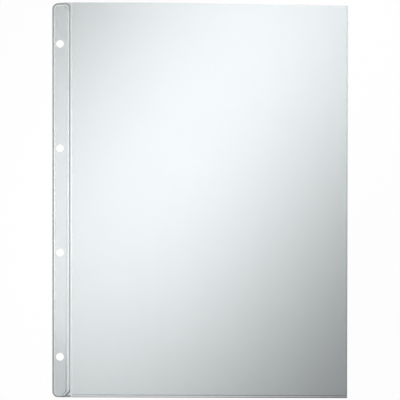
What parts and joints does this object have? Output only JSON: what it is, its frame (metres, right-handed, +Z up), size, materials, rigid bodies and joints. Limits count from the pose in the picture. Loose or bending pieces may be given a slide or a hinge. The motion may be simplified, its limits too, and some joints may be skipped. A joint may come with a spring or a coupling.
{
  "type": "sheet protector",
  "caption": "Flat clear film pocket, open at the top and welded at the foot and side, on a stiffened, punched binding strip that the pocket folds against like a page.",
  "frame": {"origin": "on the table, under the middle of the flat-lying page", "axes": "+X from the binding strip to the side seam, +Y up the page to the open mouth, +Z up through the films"},
  "size_m": [0.2266, 0.3024, 0.0005],
  "materials": {
    "clear_film": "clear film with a faint cool grey cast, satin gloss",
    "stiff_film": "thicker clear film, a little greyer",
    "welded_film": "film fused by heat, darker and glossier at the seam"
  },
  "bodies": {
    "binding_strip": {"strip_back_ply": "clear_film", "strip_core": "stiff_film", "strip_front_ply": "clear_film", "edge_weld": "welded_film", "spine_weld": "welded_film"},
    "pocket": {"back_film": "clear_film", "bottom_weld": "welded_film", "side_weld": "welded_film"},
    "pocket_front": {"front_film": "clear_film"}
  },
  "joints": [
    {"name": "page_swing", "type": "hinge", "parent": "binding_strip", "child": "pocket", "pos_m": [-0.09888, 0, 0.00025], "axis": [0, -1, 0], "range_deg": [0, 90]},
    {"name": "mouth_open", "type": "hinge", "parent": "pocket", "child": "pocket_front", "pos_m": [0, -0.1512, 0.00037], "axis": [1, 0, 0], "range_deg": [0, 4]}
  ]
}
